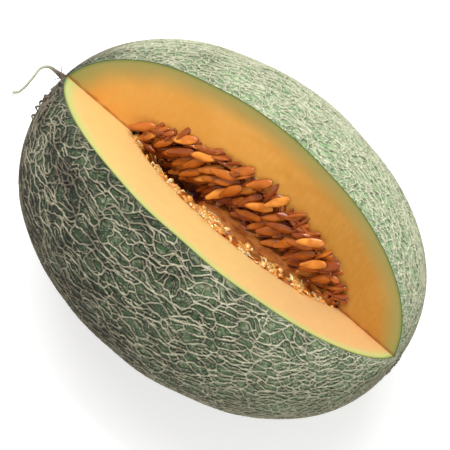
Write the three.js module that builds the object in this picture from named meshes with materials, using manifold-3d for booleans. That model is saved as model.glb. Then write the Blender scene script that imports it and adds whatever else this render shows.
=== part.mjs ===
// A netted cantaloupe melon lying on its side, with one lengthways wedge cut out of its top.
//
// Frame: millimetres. X runs along the melon from the stem end (-X) to the blossom end (+X),
// Z is up, and the origin is the middle of the small flat spot that the melon rests on.

import * as THREE from 'three';
import { mergeVertices } from 'three/addons/utils/BufferGeometryUtils.js';
import Module from 'manifold-3d';

const wasm = await Module();
wasm.setup();

// ---- Driving dimensions ----

const bodyHalfLength = 94;
const bodyRadius = 70;
const bodyFullness = 0.45; // exponent of the outline: 0.5 is an ellipse, less is fuller
const restingFlatDepth = 0.5;

// The two knife cuts meet along a straight line that runs through the flesh from end to end.
const cutStemOffset = { y: 7, z: 21 }; // the line's place off the melon's axis at the stem end
const cutBlossomOffset = { y: 0, z: 12 }; // and at the blossom end
const backCutAngle = 37.5; // degrees from straight up, leaning to +Y
const frontCutAngle = 31.5; // degrees from straight up, leaning to -Y

const cavityHalfLength = 65;
const cavityRadius = 37;
const cavityShift = 1.5; // towards the blossom end

const seedBedDepth = 4.5; // how far the pulp lies below the back cut
const fringeDepth = 1.5; // how far it lies below the front cut
const hollowHalfLength = 52;
const hollowHalfWidth = 6;
const hollowDepth = 16; // half the height of the hollow in the pulp
const hollowCentre = { y: 0.5, z: 15 }; // off the melon's axis

const seedLength = 13.5;
const seedWidth = 5;
const seedThickness = 2;
const seedLie = 43; // degrees between a seed and the melon's length
const seedTilt = 15; // degrees that a seed leans from the bed towards level
const seedDip = 10; // degrees that its blunt end dips towards the bed
const seedColumns = 25;
const seedEdgeMargin = 1.2; // from a seed to the wall of the cavity

const stemRadius = 0.9;
const stemCollarRadius = 3.2;
const stemCollarHeight = 4.5;
const stemBelowCut = 3.5; // from the end of the cuts down the rind to the stem
const stemRoute = [ // the dry stalk's curl, seen from the middle of its seat
	[ 0, 0, 0 ],
	[ - 4, - 0.3, 2 ],
	[ - 7.5, - 1, 4 ],
	[ - 9.6, - 3.9, 5.9 ],
	[ - 9.6, - 7.2, 5.3 ],
	[ - 10.1, - 11.6, 2.4 ],
	[ - 11.7, - 16.2, - 1.1 ],
	[ - 13.9, - 18.8, - 3 ],
];

const gap = 0.3; // clearance between pieces that touch

const axisHeight = bodyRadius - restingFlatDepth;

// ---- Materials ----

const rindAndFlesh = new THREE.MeshStandardMaterial( { color: 0x7f9468, roughness: 0.7, metalness: 0 } );
const wetPulp = new THREE.MeshStandardMaterial( { color: 0xb5621f, roughness: 0.3, metalness: 0 } );
const seedCoat = new THREE.MeshStandardMaterial( { color: 0xb3692a, roughness: 0.25, metalness: 0 } );
const dryStalk = new THREE.MeshStandardMaterial( { color: 0x8d8b70, roughness: 0.85, metalness: 0 } );

// ---- Solids: joining and cutting ----

function solidFrom( geometry ) {

	const bare = geometry.index ? geometry.toNonIndexed() : geometry.clone();
	bare.deleteAttribute( 'normal' );
	bare.deleteAttribute( 'uv' );
	const merged = mergeVertices( bare, 1e-3 );
	const triVerts = [];
	const index = merged.index.array;
	for ( let i = 0; i < index.length; i += 3 ) {

		const [ a, b, c ] = [ index[ i ], index[ i + 1 ], index[ i + 2 ] ];
		if ( a !== b && b !== c && c !== a ) triVerts.push( a, b, c );

	}

	return new wasm.Manifold( new wasm.Mesh( {
		numProp: 3,
		vertProperties: new Float32Array( merged.attributes.position.array ),
		triVerts: new Uint32Array( triVerts ),
	} ) );

}

function geometryFrom( solid ) {

	const mesh = solid.getMesh();
	const geometry = new THREE.BufferGeometry();
	geometry.setAttribute( 'position', new THREE.BufferAttribute( new Float32Array( mesh.vertProperties ), 3 ) );
	geometry.setIndex( new THREE.BufferAttribute( new Uint32Array( mesh.triVerts ), 1 ) );
	geometry.computeVertexNormals();
	return geometry;

}

function nodeMesh( name, geometry, material ) {

	const mesh = new THREE.Mesh( geometry, material );
	mesh.name = name;
	return mesh;

}

// ---- Shapes in the melon's own frame, whose X axis is the melon's axis ----

// The melon's outline: its radius at a place along the axis.
function bodyRadiusAt( x, growth = 0 ) {

	const share = Math.max( 0, 1 - ( x / ( bodyHalfLength + growth ) ) ** 2 );
	return ( bodyRadius + growth ) * share ** bodyFullness;

}

// The place along the axis, on the stem end, where the body has a given radius.
function stemEndPlace( radius ) {

	return - bodyHalfLength * Math.sqrt( 1 - ( radius / bodyRadius ) ** ( 1 / bodyFullness ) );

}

function bodyShape( growth = 0, steps = 32, sides = 48 ) {

	const profile = [];
	for ( let i = 0; i <= steps; i ++ ) {

		const x = ( bodyHalfLength + growth ) * Math.sin( ( i / steps - 0.5 ) * Math.PI );
		const onAxis = i === 0 || i === steps;
		profile.push( new THREE.Vector2( onAxis ? 0 : bodyRadiusAt( x, growth ), x ) );

	}

	return new THREE.LatheGeometry( profile, sides ).rotateZ( - Math.PI / 2 );

}

function ellipsoid( halfLength, halfWidth, halfHeight, centre, sides, rings ) {

	const shape = new THREE.SphereGeometry( 1, sides, rings );
	shape.rotateZ( - Math.PI / 2 );
	shape.scale( halfLength, halfWidth, halfHeight );
	shape.translate( centre.x, centre.y, centre.z );
	return shape;

}

// ---- The cuts ----

const backAngle = THREE.MathUtils.degToRad( backCutAngle );
const frontAngle = THREE.MathUtils.degToRad( frontCutAngle );
const backDirection = new THREE.Vector3( 0, Math.sin( backAngle ), Math.cos( backAngle ) );
const backNormal = new THREE.Vector3( 0, - Math.cos( backAngle ), Math.sin( backAngle ) );
const frontNormal = new THREE.Vector3( 0, Math.cos( frontAngle ), Math.sin( frontAngle ) );
const cutSlope = {
	y: ( cutBlossomOffset.y - cutStemOffset.y ) / ( 2 * bodyHalfLength ),
	z: ( cutBlossomOffset.z - cutStemOffset.z ) / ( 2 * bodyHalfLength ),
};

// The point of the line where the cuts meet, at a place along the axis.
function cutLineAt( x ) {

	return new THREE.Vector3(
		x,
		cutStemOffset.y + cutSlope.y * ( x + bodyHalfLength ),
		cutStemOffset.z + cutSlope.z * ( x + bodyHalfLength ),
	);

}

// The wedge between the cuts, as a prism longer than the melon. The two sinks move its faces
// into the melon, square to themselves.
function wedgeShape( backSink = 0, frontSink = 0 ) {

	const reach = 3 * bodyRadius;
	const halfRun = 1.2 * bodyHalfLength;
	const spread = backAngle + frontAngle;
	const alongBack = ( frontSink + backSink * Math.cos( spread ) ) / Math.sin( spread );
	const apexY = - alongBack * Math.sin( backAngle ) + backSink * Math.cos( backAngle );
	const apexZ = - alongBack * Math.cos( backAngle ) - backSink * Math.sin( backAngle );
	const outline = new THREE.Shape();
	outline.moveTo( apexY, apexZ );
	outline.lineTo( apexY + reach * Math.sin( backAngle ), apexZ + reach * Math.cos( backAngle ) );
	outline.lineTo( apexY - reach * Math.sin( frontAngle ), apexZ + reach * Math.cos( frontAngle ) );
	const prism = new THREE.ExtrudeGeometry( outline, { depth: 2 * halfRun, bevelEnabled: false } );
	const along = new THREE.Matrix4().makeBasis(
		new THREE.Vector3( 0, 1, 0 ),
		new THREE.Vector3( 0, 0, 1 ),
		new THREE.Vector3( 1, cutSlope.y, cutSlope.z ),
	);
	along.setPosition( cutLineAt( - halfRun ) );
	return prism.applyMatrix4( along );

}

// ---- Fruit: rind and flesh, grown as one, with the wedge taken out and the cavity opened ----

function makeFruit() {

	const cavity = ellipsoid( cavityHalfLength, cavityRadius, cavityRadius, { x: cavityShift, y: 0, z: 0 }, 32, 20 );
	const under = new THREE.BoxGeometry( 2 * bodyHalfLength, 2 * bodyRadius, bodyRadius );
	under.translate( 0, 0, - axisHeight - bodyRadius / 2 );
	const solid = solidFrom( bodyShape() )
		.subtract( solidFrom( wedgeShape() ) )
		.subtract( solidFrom( cavity ) )
		.subtract( solidFrom( under ) );
	return nodeMesh( 'fruit', geometryFrom( solid ), rindAndFlesh );

}

// ---- Pulp: the soft tissue that fills the cavity and carries the seeds ----

function makePulp() {

	const centre = { x: cavityShift, y: 0, z: 0 };
	const outside = ellipsoid( cavityHalfLength - gap, cavityRadius - gap, cavityRadius - gap, centre, 32, 20 );
	const hollowPlace = { x: cavityShift, ...hollowCentre };
	const hollow = ellipsoid( hollowHalfLength, hollowHalfWidth, hollowDepth, hollowPlace, 16, 16 );
	const solid = solidFrom( outside )
		.subtract( solidFrom( wedgeShape( seedBedDepth, fringeDepth ) ) )
		.subtract( solidFrom( hollow ) );
	return nodeMesh( 'pulp', geometryFrom( solid ), wetPulp );

}

// ---- Seeds: flat drops, leaning on each other on the bed of pulp along the back cut ----

// A fixed sequence of numbers from 0 to 1, so that the seeds always fall the same way.
function scatterSequence( start ) {

	let state = start;
	return () => {

		state = ( state * 16807 ) % 2147483647;
		return state / 2147483647;

	};

}

function seedShape() {

	const steps = 5;
	const profile = [];
	for ( let i = 0; i <= steps; i ++ ) {

		const turn = Math.PI * i / steps;
		const taper = 1 - 0.2 * ( 1 + Math.cos( turn ) ) / 2; // narrower towards the tip at the start
		const onAxis = i === 0 || i === steps;
		const radius = onAxis ? 0 : Math.sin( turn ) * taper;
		profile.push( new THREE.Vector2( radius * seedWidth / 2, - Math.cos( turn ) * seedLength / 2 ) );

	}

	const shape = new THREE.LatheGeometry( profile, 8 ).rotateZ( - Math.PI / 2 );
	return shape.scale( 1, 1, seedThickness / seedWidth );

}

const seedHalf = new THREE.Vector3( seedLength / 2, seedWidth / 2, seedThickness / 2 );

// Points all over the ellipsoid that a seed fits in.
function seedSkinPoints() {

	const points = [];
	for ( let ring = 0; ring <= 10; ring ++ ) {

		const turn = Math.PI * ring / 10;
		for ( let side = 0; side < 14; side ++ ) {

			const around = 2 * Math.PI * side / 14;
			const point = new THREE.Vector3( - Math.cos( turn ), Math.cos( around ), Math.sin( around ) );
			point.y *= Math.sin( turn );
			point.z *= Math.sin( turn );
			points.push( point.multiply( seedHalf ) );

		}

	}

	return points;

}

const skinPoints = seedSkinPoints();

// Whether any skin point of one seed comes closer to another than the gap.
function reachesInto( seed, other ) {

	const toOther = other.place.clone().invert().multiply( seed.place );
	return skinPoints.some( ( skinPoint ) => {

		const point = skinPoint.clone().applyMatrix4( toOther );
		const x = point.x / ( seedHalf.x + gap );
		const y = point.y / ( seedHalf.y + gap );
		const z = point.z / ( seedHalf.z + gap );
		return x * x + y * y + z * z < 1;

	} );

}

function seedsTouch( a, b ) {

	if ( a.centre.distanceTo( b.centre ) > seedLength + 2 * gap ) return false;
	return reachesInto( a, b ) || reachesInto( b, a );

}

// Whether a seed comes too close to the flesh, or inside the cavity to the pulp.
function touchesFruit( seed ) {

	return skinPoints.some( ( skinPoint ) => {

		const point = skinPoint.clone().applyMatrix4( seed.place );
		const x = ( point.x - cavityShift ) / ( cavityHalfLength - seedEdgeMargin );
		const r = Math.hypot( point.y, point.z ) / ( cavityRadius - seedEdgeMargin );
		const inCavity = x * x + r * r < 1;
		const fromCutLine = point.sub( cutLineAt( point.x ) );
		const overBack = fromCutLine.dot( backNormal ) + ( inCavity ? seedBedDepth : 0 );
		const overFront = fromCutLine.dot( frontNormal ) + ( inCavity ? fringeDepth : 0 );
		return overBack < gap / 2 || overFront < gap / 2;

	} );

}

// A seed's place from where it lies on the bed: along the cut line, across from it, and lifted
// straight up.
function settleSeed( along, across, lie, tilt, dip, lift ) {

	const alongCut = new THREE.Vector3( 1, cutSlope.y, cutSlope.z ).normalize();
	const normal = new THREE.Vector3().crossVectors( alongCut, backDirection ).normalize();
	const acrossBed = new THREE.Vector3().crossVectors( normal, alongCut );
	const bed = new THREE.Matrix4().makeBasis( alongCut, acrossBed, normal );
	const turned = new THREE.Matrix4().makeRotationZ( lie );
	turned.multiply( new THREE.Matrix4().makeRotationY( dip ) );
	turned.multiply( new THREE.Matrix4().makeRotationX( tilt ) );
	const turn = bed.multiply( turned );
	const axes = [ new THREE.Vector3(), new THREE.Vector3(), new THREE.Vector3() ];
	turn.extractBasis( ...axes );
	const reachDown = Math.hypot(
		axes[ 0 ].dot( normal ) * seedHalf.x,
		axes[ 1 ].dot( normal ) * seedHalf.y,
		axes[ 2 ].dot( normal ) * seedHalf.z,
	);
	const centre = cutLineAt( along )
		.addScaledVector( acrossBed, across )
		.addScaledVector( backNormal, - seedBedDepth )
		.addScaledVector( normal, gap + reachDown );
	centre.z += lift;
	return { centre, place: turn.clone().setPosition( centre ) };

}

// How far the bed runs from the cut line to the cavity's wall, at a place along the axis.
function bedWidthAt( x ) {

	const share = Math.max( 0, 1 - ( ( x - cavityShift ) / cavityHalfLength ) ** 2 );
	const start = cutLineAt( x ).addScaledVector( backNormal, - seedBedDepth );
	const towards = start.y * backDirection.y + start.z * backDirection.z;
	const room = towards ** 2 - start.y ** 2 - start.z ** 2 + cavityRadius ** 2 * share;
	return room > 0 ? Math.sqrt( room ) - towards : 0;

}

// The first clear place for a seed: as low on the bed as it goes, then as near as it can be to
// where it fell.
function restSeed( settled, along, across, lie, tilt, dip ) {

	for ( let lift = 0; ; lift += 0.15 ) {

		for ( const slide of [ 1, 0.9, 0.8, 0.7, 0.6, 0.5 ] ) {

			const x = cavityShift + ( along - cavityShift ) * ( 0.7 + 0.3 * slide );
			const seed = settleSeed( x, across * slide, lie, tilt, dip, lift );
			const clear = ! touchesFruit( seed ) && ! settled.some( ( other ) => seedsTouch( seed, other ) );
			if ( clear ) return seed;

		}

	}

}

function makeSeeds() {

	const random = scatterSequence( 4321 );
	const around = ( size ) => ( random() - 0.5 ) * 2 * size;
	const degrees = THREE.MathUtils.degToRad;
	const settled = [];
	for ( let column = 0; column < seedColumns; column ++ ) {

		const share = ( column + 0.5 ) / seedColumns * 2 - 1;
		const rows = Math.abs( share ) > 0.86 ? 1 : Math.abs( share ) > 0.62 ? 2 : 2 + column % 2;
		for ( let row = 0; row < rows; row ++ ) {

			const along = cavityShift + share * ( cavityHalfLength - 0.6 * seedLength ) + around( 1.2 );
			const across = bedWidthAt( along ) * ( row + 0.54 ) / rows + around( 1.4 );
			const lie = degrees( seedLie + around( 22 ) );
			const tilt = - degrees( seedTilt + around( 14 ) );
			const dip = degrees( seedDip + around( 9 ) );
			settled.push( restSeed( settled, along, across, lie, tilt, dip ) );

		}

	}

	return settled.map( ( seed, number ) => {

		const name = `seed_${ String( number + 1 ).padStart( 2, '0' ) }`;
		return nodeMesh( name, seedShape().applyMatrix4( seed.place ), seedCoat );

	} );

}

// ---- Stem: the dry, curled stalk that still clings to the rind below the end of the cuts ----

function makeStem() {

	const cutEnd = Math.hypot( cutStemOffset.y, cutStemOffset.z );
	const seatRadius = cutEnd - stemBelowCut;
	const seat = new THREE.Vector3(
		stemEndPlace( seatRadius ),
		seatRadius * cutStemOffset.y / cutEnd,
		seatRadius * cutStemOffset.z / cutEnd,
	);
	const points = stemRoute.map( ( point ) => new THREE.Vector3( ...point ) );
	const section = new THREE.Shape().absarc( 0, 0, stemRadius, 0, 2 * Math.PI );
	const stalk = new THREE.ExtrudeGeometry( section, {
		steps: 22,
		curveSegments: 4,
		bevelEnabled: false,
		extrudePath: new THREE.CatmullRomCurve3( points ),
	} );
	const collarProfile = [
		new THREE.Vector2( 0, - stemCollarRadius ),
		new THREE.Vector2( stemCollarRadius, - stemCollarRadius ),
		new THREE.Vector2( stemCollarRadius, 0.4 ),
		new THREE.Vector2( stemCollarRadius * 0.5, stemCollarHeight * 0.4 ),
		new THREE.Vector2( stemRadius * 0.8, stemCollarHeight ),
		new THREE.Vector2( 0, stemCollarHeight ),
	];
	const collar = new THREE.LatheGeometry( collarProfile, 12 );
	const outward = points[ 1 ].clone().normalize();
	collar.applyQuaternion( new THREE.Quaternion().setFromUnitVectors( new THREE.Vector3( 0, 1, 0 ), outward ) );
	stalk.translate( seat.x, seat.y, seat.z );
	collar.translate( seat.x, seat.y, seat.z );
	const solid = solidFrom( stalk )
		.add( solidFrom( collar ) )
		.subtract( solidFrom( bodyShape( gap ) ) );
	return nodeMesh( 'stem', geometryFrom( solid ), dryStalk );

}

// ---- The melon, lifted so that its flat spot rests on the ground ----

const melon = new THREE.Group();
melon.name = 'melon';
melon.position.z = axisHeight;
melon.add( makeFruit(), makePulp(), makeStem(), ...makeSeeds() );

export default melon;
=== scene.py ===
"""A netted cantaloupe melon on its side with a wedge cut out: skin, flesh, pulp, seeds and stem."""

import math

import bpy
import numpy as np
from bpy.props import FloatProperty, FloatVectorProperty, IntProperty, PointerProperty
from mathutils import Matrix, Vector, kdtree
from mathutils.bvhtree import BVHTree


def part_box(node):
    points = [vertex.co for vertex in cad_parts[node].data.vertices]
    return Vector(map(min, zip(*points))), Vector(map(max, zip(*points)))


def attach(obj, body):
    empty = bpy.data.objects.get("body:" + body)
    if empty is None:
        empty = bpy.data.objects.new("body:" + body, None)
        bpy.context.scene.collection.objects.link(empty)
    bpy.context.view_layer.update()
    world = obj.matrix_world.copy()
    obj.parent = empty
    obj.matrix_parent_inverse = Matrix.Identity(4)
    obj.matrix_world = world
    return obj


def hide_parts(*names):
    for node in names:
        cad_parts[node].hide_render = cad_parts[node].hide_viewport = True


bl_info = {
    "name": "Netted Melon",
    "version": (1, 0, 0),
    "blender": (4, 5, 0),
    "location": "3D View > Sidebar > Melon",
    "description": "Builds a cut netted melon around its packed solids",
    "category": "Object",
}

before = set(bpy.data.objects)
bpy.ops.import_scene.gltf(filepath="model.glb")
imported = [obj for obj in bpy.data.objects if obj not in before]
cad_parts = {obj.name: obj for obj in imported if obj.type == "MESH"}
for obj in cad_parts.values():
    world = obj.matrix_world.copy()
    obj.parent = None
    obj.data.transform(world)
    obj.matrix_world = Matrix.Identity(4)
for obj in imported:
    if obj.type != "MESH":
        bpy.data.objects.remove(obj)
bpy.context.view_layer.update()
MM = 0.001
TOUCH_GAP = 0.3 * MM  # what the solids keep between pieces that touch
HOLLOW_MIDDLE = 0.5 * MM  # where the empty hollow between the cuts runs
HOLLOW_HALF = 6 * MM  # half the hollow's width
LIP_PLACES = 400  # how many places lip_line gives
SEED_TRIM = (0.93, 1.0, 1.2)  # a seed against its solid, in length, width and thickness


# ---- Small tools for points ----


def ripple(points, wavelength, seed, waves=14):
    """Smooth noise of about -1 to 1 over an array of points: a sum of waves that seed picks."""
    rng = np.random.default_rng(seed)
    ways = rng.normal(size=(waves, 3))
    ways /= np.linalg.norm(ways, axis=1)[:, None]
    pitch = 2 * math.pi / wavelength * rng.uniform(0.6, 1.5, waves)
    phase = rng.uniform(0, 2 * math.pi, waves)
    flat = points.reshape(-1, 3)
    total = np.zeros(len(flat))
    spread = 0.6  # the standard deviation of the result
    for way, k, start in zip(ways, pitch, phase):
        total += np.sin(flat @ way * k + start)
    return (total / math.sqrt(waves / 2) * spread).reshape(points.shape[:-1])


def ripple_vector(points, wavelength, seed):
    """Three independent ripples, as an offset for each point."""
    return np.stack([ripple(points, wavelength, seed + k) for k in range(3)], axis=-1)


def smoothstep(low, high, value):
    """0 below low, 1 above high, and a soft step between. High may be the smaller one."""
    share = np.clip((value - low) / (high - low), 0, 1)
    return share * share * (3 - 2 * share)


def unit(vectors):
    """The vectors at length one."""
    return vectors / np.maximum(np.linalg.norm(vectors, axis=-1, keepdims=True), 1e-12)


def vectors_of(mesh, kind):
    """The places ("co") or the normals ("normal") of a mesh's points, as an array."""
    values = np.empty(len(mesh.vertices) * 3)
    mesh.vertices.foreach_get(kind, values)
    return values.reshape(-1, 3)


def node_points(name):
    """A solid's corner points, as an array."""
    return vectors_of(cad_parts[name].data, "co")


# ---- The melon's form, read from its solids ----


class MelonForm:
    """The body's outline, the two cuts and the cavity, in metres."""

    fullness = 0.45  # exponent of the outline: 0.5 is an ellipse, less is fuller

    def __init__(self):
        low, high = (np.array(corner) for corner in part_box("fruit"))
        self.half_length = (high[0] - low[0]) / 2
        self.radius = (high[1] - low[1]) / 2
        corners = node_points("fruit")
        widest = np.abs(corners[:, 1]) > 0.9995 * self.radius
        self.centre = np.array([(high[0] + low[0]) / 2, 0, corners[widest, 2].mean()])
        low, high = (np.array(corner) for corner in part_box("pulp"))
        self.cavity_centre = np.array([(high[0] + low[0]) / 2, 0, self.centre[2]])
        half_length, radius = (high[:2] - low[:2]) / 2 + TOUCH_GAP
        self.cavity_halves = np.array([half_length, radius, radius])
        self.back_normal, self.back_offset = self.cut_face(-1)
        self.front_normal, self.front_offset = self.cut_face(1)
        self.along = unit(np.cross(self.back_normal, self.front_normal))
        self.along *= np.sign(self.along[0])
        self.up = unit(np.array([0, 0, 1.0]) - self.along * self.along[2])
        self.side = np.cross(self.up, self.along)
        self.middle = self.cut_line_point(self.cavity_centre[0])
        self.back_angle = self.angle_of(self.back_normal)
        self.front_angle = 2 * math.pi + self.angle_of(self.front_normal)

    def cut_face(self, lean):
        """The normal and offset of the largest flat face that leans this way along Y and up."""
        areas = {}
        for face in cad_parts["fruit"].data.polygons:
            normal = face.normal
            if normal.y * lean < 0.3 or normal.z < 0.2:
                continue
            offset = normal.dot(face.center)
            key = (round(normal.x, 2), round(normal.y, 2), round(normal.z, 2), round(offset, 3))
            total, sums = areas.get(key, (0.0, np.zeros(4)))
            sums = sums + np.array([*normal, offset]) * face.area
            areas[key] = (total + face.area, sums)
        total, sums = max(areas.values(), key=lambda entry: entry[0])
        return unit(sums[:3]), sums[3] / np.linalg.norm(sums[:3])

    def cut_line_point(self, x):
        """The point where the two cuts meet, at a place along the melon."""
        rows = np.array([self.back_normal[1:], self.front_normal[1:]])
        sides = np.array([self.back_offset - self.back_normal[0] * x,
                          self.front_offset - self.front_normal[0] * x])
        return np.array([x, *np.linalg.solve(rows, sides)])

    def angle_of(self, normal):
        """The turn from straight up, towards +Y, of the way out along a cut face."""
        way = np.cross(normal, self.along)
        way *= np.sign(way[2])
        return math.atan2(way @ self.side, way @ self.up)

    def direction(self, theta, alpha):
        """Unit vectors from the cut line's middle: theta runs from the stem end, alpha round it."""
        theta, alpha = np.broadcast_arrays(theta, alpha)
        around = np.cos(alpha)[..., None] * self.up + np.sin(alpha)[..., None] * self.side
        return -np.cos(theta)[..., None] * self.along + np.sin(theta)[..., None] * around

    def place_at(self, directions, distances):
        """The points this far from the middle of the cut line, one in each direction."""
        return self.middle + directions * distances[..., None]

    def body_level(self, points):
        """Below 0 inside the body, 0 on its skin and above 0 outside."""
        place = points - self.centre
        radial = np.hypot(place[..., 1], place[..., 2]) / self.radius
        return radial ** (1 / self.fullness) + (place[..., 0] / self.half_length) ** 2 - 1

    def skin_distance(self, directions):
        """How far each direction runs from the middle of the cut line to the skin."""
        low = np.zeros(directions.shape[:-1])
        high = np.full(directions.shape[:-1], 2 * self.half_length)
        for _ in range(34):  # each halves what is left, which ends far below a micrometre
            trial = (low + high) / 2
            inside = self.body_level(self.place_at(directions, trial)) < 0
            low = np.where(inside, trial, low)
            high = np.where(inside, high, trial)
        return (low + high) / 2

    def skin_normal(self, points):
        """Outward normals of the skin."""
        place = points - self.centre
        radial = np.hypot(place[..., 1], place[..., 2])
        power = 1 / self.fullness
        slope = power * (radial / self.radius) ** (power - 2) / self.radius**2
        along = 2 * place[..., 0] / self.half_length**2
        return unit(np.stack([along, place[..., 1] * slope, place[..., 2] * slope], axis=-1))

    def cavity_distance(self, directions):
        """How far each direction runs from the middle of the cut line to the cavity's wall."""
        start = (self.middle - self.cavity_centre) / self.cavity_halves
        way = directions / self.cavity_halves
        a = (way**2).sum(-1)
        b = way @ start
        return (-b + np.sqrt(b * b - a * (start @ start - 1))) / a

    def meridian_length(self, x):
        """The length of skin from the middle of the melon to a place along it, with its sign."""
        turn = np.linspace(-math.pi / 2, math.pi / 2, 801)
        places = self.half_length * np.sin(turn)
        radii = self.radius * np.clip(1 - (places / self.half_length) ** 2, 0, 1) ** self.fullness
        steps = np.hypot(np.diff(places), np.diff(radii))
        lengths = np.concatenate([[0], np.cumsum(steps)])
        return np.interp(x - self.centre[0], places, lengths - lengths[-1] / 2)


form = MelonForm()


# ---- Meshes ----


def grid_faces(index, flip=False):
    """Quads over a two-way array of point numbers, and triangles where a row closes to a point."""
    a, b = index[:-1, :-1].ravel(), index[1:, :-1].ravel()
    c, d = index[1:, 1:].ravel(), index[:-1, 1:].ravel()
    quads = np.stack([a, d, c, b] if flip else [a, b, c, d], axis=1)
    faces = []
    for quad in quads.tolist():
        corners = [p for k, p in enumerate(quad) if p != quad[k - 1]]
        if len(corners) > 2:
            faces.append(corners)
    return faces


def close_ends(rows):
    """Gives the whole first row its first entry, and the whole last row its own first entry."""
    rows[0], rows[-1] = rows[0, 0], rows[-1, 0]


def sides_of(points):
    """1 along the four sides of a two-way array of points, and 0 inside."""
    line = np.zeros(points.shape[:-1])
    line[[0, -1]] = line[:, 0] = line[:, -1] = 1
    return line


def make_object(name, points, faces, materials, slots=None, smooth=True):
    """A mesh object from points and faces, with its materials."""
    mesh = bpy.data.meshes.new(name)
    mesh.from_pydata(np.asarray(points).tolist(), [], faces)
    for material in materials:
        mesh.materials.append(material)
    if slots is not None:
        mesh.polygons.foreach_set("material_index", np.asarray(slots, dtype=np.int32))
    if smooth:
        mesh.shade_smooth()
    mesh.update()
    made = bpy.data.objects.new(name, mesh)
    bpy.context.scene.collection.objects.link(made)
    return made


def add_values(made, name, values):
    """Stores one number for each point of a mesh, for its material to read."""
    layer = made.data.attributes.new(name, "FLOAT", "POINT")
    layer.data.foreach_set("value", np.asarray(values, dtype=np.float32).ravel())


def tube(path, radii, sides=10, squash=1.0):
    """Points and faces of a closed tube along a path, with a radius at each of its points."""
    path, radii = np.asarray(path), np.asarray(radii)
    ways = unit(np.gradient(path, axis=0))
    across = unit(np.cross(ways[0], [0.31, 0.17, 0.93]))  # with a direction that no path starts in
    rings = []
    for point, way, radius in zip(path, ways, radii):
        across = unit(across - way * (across @ way))
        third = np.cross(way, across)
        turn = np.linspace(0, 2 * math.pi, sides, endpoint=False)
        ring = np.cos(turn)[:, None] * across + np.sin(turn)[:, None] * third * squash
        rings.append(point + ring * radius)
    points = np.concatenate([path[:1] - ways[:1] * radii[0] * 0.5, *rings,
                             path[-1:] + ways[-1:] * radii[-1] * 0.5])
    faces = []
    last = len(points) - 1
    for side in range(sides):
        beside = (side + 1) % sides
        faces.append([0, 1 + beside, 1 + side])
        for ring in range(len(path) - 1):
            base = 1 + ring * sides
            faces.append([base + side, base + beside, base + sides + beside, base + sides + side])
        base = 1 + (len(path) - 1) * sides
        faces.append([last, base + side, base + beside])
    return points, faces


def smooth_path(points, count):
    """A smooth curve through a few points, sampled at count places."""
    points = np.asarray(points, dtype=float)
    padded = np.vstack([2 * points[0] - points[1], points, 2 * points[-1] - points[-2]])
    spans = len(points) - 1
    made = []
    for t in np.linspace(0, spans, count):
        k = min(int(t), spans - 1)
        u = t - k
        p0, p1, p2, p3 = padded[k:k + 4]
        made.append(0.5 * (2 * p1 + (p2 - p0) * u + (2 * p0 - 5 * p1 + 4 * p2 - p3) * u**2
                           + (3 * p1 - p0 - 3 * p2 + p3) * u**3))
    return np.array(made)


def gather(parts):
    """Joins several (points, faces) into one."""
    points, faces, start = [], [], 0
    for some_points, some_faces in parts:
        points.append(some_points)
        faces += [[corner + start for corner in face] for face in some_faces]
        start += len(some_points)
    return np.concatenate(points), faces


# ---- Shader maths ----


class Term:
    """A socket that takes part in Python expressions."""

    def __init__(self, graph, socket):
        self.graph = graph
        self.socket = socket

    def __add__(self, other):
        return self.graph.maths("ADD", self, other)

    def __sub__(self, other):
        return self.graph.maths("SUBTRACT", self, other)

    def __rsub__(self, other):
        return self.graph.maths("SUBTRACT", other, self)

    def __mul__(self, other):
        return self.graph.maths("MULTIPLY", self, other)

    __radd__ = __add__
    __rmul__ = __mul__

    def step(self, low, high, start=0.0, end=1.0):
        """A soft step from start to end as this goes from low to high."""
        inputs = {"Value": self, "From Min": low, "From Max": high, "To Min": start, "To Max": end}
        settings = {"interpolation_type": "SMOOTHSTEP"}
        return self.graph.node("ShaderNodeMapRange", settings, inputs).out("Result")

    def clamp(self):
        """This, held between 0 and 1."""
        return self.graph.node("ShaderNodeClamp", {}, {"Value": self}).out("Result")


class Made:
    """A node just added, to take outputs from."""

    def __init__(self, graph, node):
        self.graph = graph
        self.node = node

    def out(self, name):
        return Term(self.graph, self.node.outputs[name])


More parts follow.
